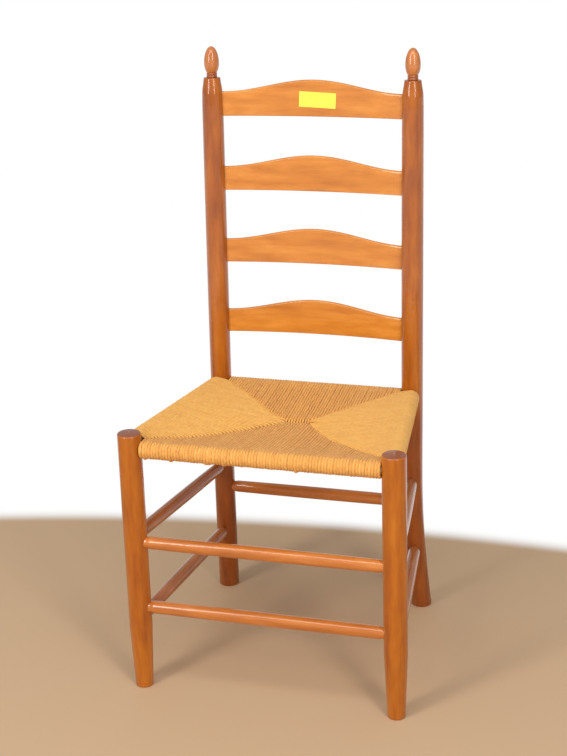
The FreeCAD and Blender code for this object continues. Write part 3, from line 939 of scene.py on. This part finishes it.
    def tube(
        self, path: np.ndarray, across: np.ndarray, width: np.ndarray, flatness: float,
        rng: np.random.Generator
    ) -> Cord:
        """Ring points of one cord, and the lay that its finish reads.

        Args:
            path: Points of the cord's line, in mm.
            across: Unit vector along the rail.
            width: Width of the cord along the rail, at each point.
            flatness: Power of the section's curve: 1 is an ellipse and less is squarer.
            rng: Source of the small lumps.

        Returns:
            Ring points, and for each the turn, metres along and the cord's own number.
        """
        tangent = np.gradient(path, axis=0)
        tangent /= np.linalg.norm(tangent, axis=1)[:, None]
        normal = np.cross(tangent, across)
        normal /= np.linalg.norm(normal, axis=1)[:, None]
        side = np.cross(normal, tangent)
        along = np.concatenate([[0], np.cumsum(np.linalg.norm(np.diff(path, axis=0), axis=1))])
        long_start, short_start, lay_start = rng.uniform(0, 2 * math.pi, 3)
        long, short = self.lump_lengths
        lump = 1 + self.lump * np.sin(along / long + long_start)
        lump += self.lump * np.sin(along / short + short_start)
        turn = np.arange(self.facets) / self.facets
        angle = 2 * math.pi * turn
        rise = np.sign(np.cos(angle)) * np.abs(np.cos(angle)) ** flatness
        swing = np.sign(np.sin(angle)) * np.abs(np.sin(angle)) ** flatness
        half_width = width / 2 * lump
        half_height = self.cord_d / 2 * (2 - lump)
        rings = (
            path[:, None, :]
            + normal[:, None, :] * (rise[None, :] * half_height[:, None])[..., None]
            + side[:, None, :] * (swing[None, :] * half_width[:, None])[..., None]
        )
        lay = np.empty(rings.shape)
        lay[..., 0] = turn[None, :]
        lay[..., 1] = (along[:, None] + lay_start * self.lay_shift) * MM
        lay[..., 2] = rng.uniform()
        return rings.reshape(-1, 3), lay.reshape(-1, 3)

    def mesh(self, name: str, cords: Sequence[Cord]) -> bpy.types.Object:
        """Join cords into one mesh object.

        Args:
            name: Name of the object.
            cords: Ring points in mm and lay of each cord.

        Returns:
            The new object, in the scene.
        """
        faces: List[Tuple[int, ...]] = []
        start = 0
        for points, _ in cords:
            rings = len(points) // self.facets
            for ring in range(rings - 1):
                low = start + ring * self.facets
                high = low + self.facets
                for index in range(self.facets):
                    after = (index + 1) % self.facets
                    faces.append((low + index, low + after, high + after, high + index))
            last = start + (rings - 1) * self.facets
            faces.append(tuple(start + index for index in reversed(range(self.facets))))
            faces.append(tuple(last + index for index in range(self.facets)))
            start += len(points)
        mesh = bpy.data.meshes.new(name)
        mesh.from_pydata(np.vstack([points for points, _ in cords]) * MM, [], faces)
        lay = mesh.attributes.new("cord_lay", "FLOAT_VECTOR", "POINT")
        lay.data.foreach_set("vector", np.vstack([rows for _, rows in cords]).ravel())
        mesh.polygons.foreach_set("use_smooth", [True] * len(mesh.polygons))
        mesh.validate()
        made = bpy.data.objects.new(name, mesh)
        bpy.context.scene.collection.objects.link(made)
        return made

    def end_panel(self, edge: Edge, rng: np.random.Generator) -> List[Cord]:
        """Cords of the front or back panel, which run from front to back.

        Args:
            edge: Edge.FRONT or Edge.BACK.
            rng: Source of the small changes from cord to cord.

        Returns:
            Ring points and lay of each cord.
        """
        seam = self.end_seam(edge)
        count = self.end_cords[edge]
        start = seam[0][0]
        pitch = (seam[-1][0] - start) / count
        rail = self.rails[edge]
        inward = 1.0 if edge is Edge.FRONT else -1.0
        winding = self.end_winding
        cords = []
        for index in range(count):
            x = start + pitch * (index + 0.5)
            depth = float(np.interp(x, [row[0] for row in seam], [row[1] for row in seam]))
            reach = abs(depth - rail.start[1])
            lift = rng.uniform(*winding.lift)
            hang = rng.uniform(*winding.hang)
            hang += self.loose_hang if rng.uniform() < self.loose_share else 0.0
            flat = self.section(
                rail.at(0, x)[2], reach, self.seam_height(edge, depth, True),
                self.seam_height(edge, depth, False), lift, hang, winding.seam_end
            )
            drift = self.drift(len(flat), winding.drift_reach, rng)
            path = np.column_stack([
                x + rng.uniform(-winding.stray, winding.stray) + drift,
                self.front_y + rail.start[1] + inward * flat[:, 0],
                flat[:, 1],
            ])
            narrow = np.clip((flat[:, 0] - (reach - self.end_narrowing_run)) / self.end_narrowing_run, 0, 1)
            roll = np.clip(1 - flat[:, 0] / self.roll_widening_run, 0, 1)
            width = pitch * rng.uniform(*self.end_width)
            width = width * (1 - self.end_narrowing * narrow + self.roll_widening * roll)
            cords.append(self.tube(path, np.array([inward, 0, 0]), width, winding.flatness, rng))
        return cords

    def side_panel(self, edge: Edge, rng: np.random.Generator) -> List[Cord]:
        """Cords of a side panel, which run from side to side and cross over the seams.

        Args:
            edge: Edge.LEFT or Edge.RIGHT.
            rng: Source of the small changes from cord to cord.

        Returns:
            Ring points and lay of each cord.
        """
        sign = -1.0 if edge is Edge.LEFT else 1.0
        seam = self.seams[edge]
        start = seam[0][1]
        pitch = (seam[-1][1] - start) / self.side_cords
        winding = self.side_winding
        cords = []
        for index in range(self.side_cords):
            depth = start + pitch * (index + 0.5)
            corner = Edge.FRONT if depth < self.meeting_depth[edge] else Edge.BACK
            seam_x = float(np.interp(depth, [row[1] for row in seam], [row[0] for row in seam]))
            rail_x, _, rail_z = self.rails[edge].at(1, depth)
            reach = abs(rail_x - seam_x)
            lift = rng.uniform(*winding.lift)
            hang = rng.uniform(*winding.hang)
            flat = self.section(
                rail_z, reach, self.seam_height(corner, depth, True),
                self.seam_height(corner, depth, False), lift, hang, winding.seam_end
            )
            drift = self.drift(len(flat), winding.drift_reach, rng)
            near_seam = (flat[:, 0] - (reach - self.seam_bend_run)) / self.seam_bend_run
            near_seam = np.clip(near_seam, 0, self.seam_bend_limit)
            bend = self.seam_bend * min(1.0, reach / self.full_bend_reach) * near_seam ** 2
            toward = -1 if corner is Edge.FRONT else 1
            path = np.column_stack([
                rail_x - sign * flat[:, 0],
                self.front_y + depth + rng.uniform(-winding.stray, winding.stray) + drift + toward * bend,
                flat[:, 1],
            ])
            width = pitch * self.side_width * (1 - self.side_narrowing * near_seam)
            cords.append(self.tube(path, np.array([0, sign, 0]), width, winding.flatness, rng))
        return cords

    def build(self) -> None:
        """Wind the four panels, dress them and let them stand for the CAD panels."""
        end_finish, side_finish = END_CORD.make(), SIDE_CORD.make()
        for number, edge in enumerate(Edge):
            rng = np.random.default_rng(self.seed + number)
            ends = edge in (Edge.FRONT, Edge.BACK)
            cords = self.end_panel(edge, rng) if ends else self.side_panel(edge, rng)
            piece = self.mesh(f"rush_{edge.value}_cords", cords)
            piece.data.materials.append(end_finish if ends else side_finish)
            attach(piece, "root")
            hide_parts(f"rush_{edge.value}")
            LOG.info("%s: %d cords, %d faces", piece.name, len(cords), len(piece.data.polygons))


@dataclass
class ChairFrame:
    """Posts, finials, slats, rungs, rails, card, tacks and label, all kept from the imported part."""

    nodes: Dict[str, bpy.types.Object]

    def finishes(self) -> Dict[str, bpy.types.Material]:
        """Make each finish once.

        Returns:
            The material for each node whose name starts with the key.
        """
        rung_finish = RUNG_MAPLE.make()
        return {
            "back_post": BACK_POST_MAPLE.make(),
            "front_post": FRONT_POST_MAPLE.make(),
            "finial": FINIAL_MAPLE.make(),
            "slat": SLAT_MAPLE.make(),
            "front_rung": rung_finish,
            "back_rung": rung_finish,
            "side_rung": SIDE_RUNG_MAPLE.make(),
            "seat_rail": RAIL_BIRCH.make(),
            "card": PASTEBOARD.make(),
            "gusset_tacks": BLUED_STEEL.make(),
            "paper_label": LABEL_PAPER.make(),
        }

    def dress(self) -> None:
        """Give each kept node its finish."""
        finishes = self.finishes()
        for name, piece in sorted(self.nodes.items()):
            finish = next((made for start, made in finishes.items() if name.startswith(start)), None)
            if finish:
                piece.data.materials.clear()
                piece.data.materials.append(finish)
                LOG.info("%s: %s", name, finish.name)


@dataclass(frozen=True)
class SoftBox:
    """Soft box that lights the chair.

    Args:
        name: Name of the lamp.
        place: Where it hangs, in metres.
        size: Width and height, in metres.
        power: Power in watts.
        colour: Hex colour of its light.
    """

    name: str
    place: Point
    size: Pair
    power: float
    colour: str

    def hang(self, target: Point) -> None:
        """Hang it in the scene.

        Args:
            target: Point that it faces, in metres.
        """
        data = bpy.data.lights.new(self.name, "AREA")
        data.shape = "RECTANGLE"
        data.size, data.size_y = self.size
        data.energy = self.power
        data.color = linear(self.colour)[:3]
        made = bpy.data.objects.new(self.name, data)
        made.location = self.place
        made.rotation_euler = (Vector(target) - Vector(self.place)).to_track_quat("-Z", "Y").to_euler()
        bpy.context.scene.collection.objects.link(made)


@dataclass
class Studio:
    """Floor, soft lamps, white surround and the camera at the photograph's angle. In metres."""

    camera_place: Point = (0.63222, -2.20554, 1.33688)
    yaw: float = math.radians(16.26)
    pitch: float = math.radians(20.03)
    roll: float = math.radians(-1.77)
    focal_px: float = 1469.8
    frame_px: int = 756
    sensor_mm: float = 36.0
    clip: Pair = (0.05, 60.0)
    floor_reach: float = 14.0
    floor_segments: int = 96
    lit_point: Point = (0.0, 0.0, 0.5)
    surround: float = 0.45
    boxes: Tuple[SoftBox, ...] = (
        SoftBox("left_soft_box", (-1.45, -2.45, 1.9), (0.6, 2.0), 40.0, "#fffaf2"),
        SoftBox("right_soft_box", (1.83, -2.2, 1.9), (0.6, 2.0), 36.0, "#fffaf2"),
        SoftBox("top_soft_box", (0.2, -1.3, 2.8), (2.6, 0.8), 26.0, "#ffffff"),
    )

    def camera(self) -> None:
        """Set the camera where the photograph was taken from."""
        level_part = math.cos(self.pitch)
        forward = Vector((
            -math.sin(self.yaw) * level_part, math.cos(self.yaw) * level_part, -math.sin(self.pitch)
        ))
        level = Vector((math.cos(self.yaw), math.sin(self.yaw), 0))
        above = level.cross(forward)
        right = level * math.cos(self.roll) + above * math.sin(self.roll)
        top = above * math.cos(self.roll) - level * math.sin(self.roll)
        data = bpy.data.cameras.new("photo_camera")
        data.sensor_width = self.sensor_mm
        data.lens = self.focal_px * self.sensor_mm / self.frame_px
        data.clip_start, data.clip_end = self.clip
        made = bpy.data.objects.new("photo_camera", data)
        turned = Matrix((right, top, -forward)).transposed().to_4x4()
        made.matrix_world = Matrix.Translation(self.camera_place) @ turned
        bpy.context.scene.collection.objects.link(made)
        bpy.context.scene.camera = made

    def floor(self) -> None:
        """Lay a wide round floor."""
        count = self.floor_segments
        turns = [2 * math.pi * index / count for index in range(count)]
        rim = [(self.floor_reach * math.cos(turn), self.floor_reach * math.sin(turn), 0.0) for turn in turns]
        mesh = bpy.data.meshes.new("floor")
        mesh.from_pydata(rim, [], [tuple(range(count))])
        mesh.materials.append(PaintedFloor().make())
        made = bpy.data.objects.new("floor", mesh)
        bpy.context.scene.collection.objects.link(made)

    def light(self) -> None:
        """Two tall soft boxes in front, a broad one above and an even surround."""
        for box in self.boxes:
            box.hang(self.lit_point)
        world = bpy.data.worlds.new("white_surround")
        bpy.context.scene.world = world
        world.use_nodes = True
        tree = world.node_tree
        tree.nodes.clear()
        # Plain white to the eye, and dimmer as light on the chair
        path = add_node(tree, "ShaderNodeLightPath")
        strength = add_node(
            tree, "ShaderNodeMapRange", i0=path.outputs["Is Camera Ray"], i3=self.surround, i4=1.0
        )
        background = add_node(tree, "ShaderNodeBackground", Color=WHITE, Strength=strength.outputs[0])
        add_node(tree, "ShaderNodeOutputWorld", Surface=background.outputs[0])

    def build(self) -> None:
        """Set up floor, lamps and camera."""
        self.floor()
        self.light()
        self.camera()
        bpy.context.scene.view_settings.view_transform = "Standard"


def main() -> None:
    """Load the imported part, wind the seat, dress the frame and set up the studio."""
    logging.basicConfig(level=logging.INFO, format="%(name)s: %(message)s")
    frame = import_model()
    ChairFrame(frame["nodes"]).dress()
    RushSeat().build()
    Studio().build()
    bpy.context.view_layer.update()


if __name__ == "__main__":
    main()
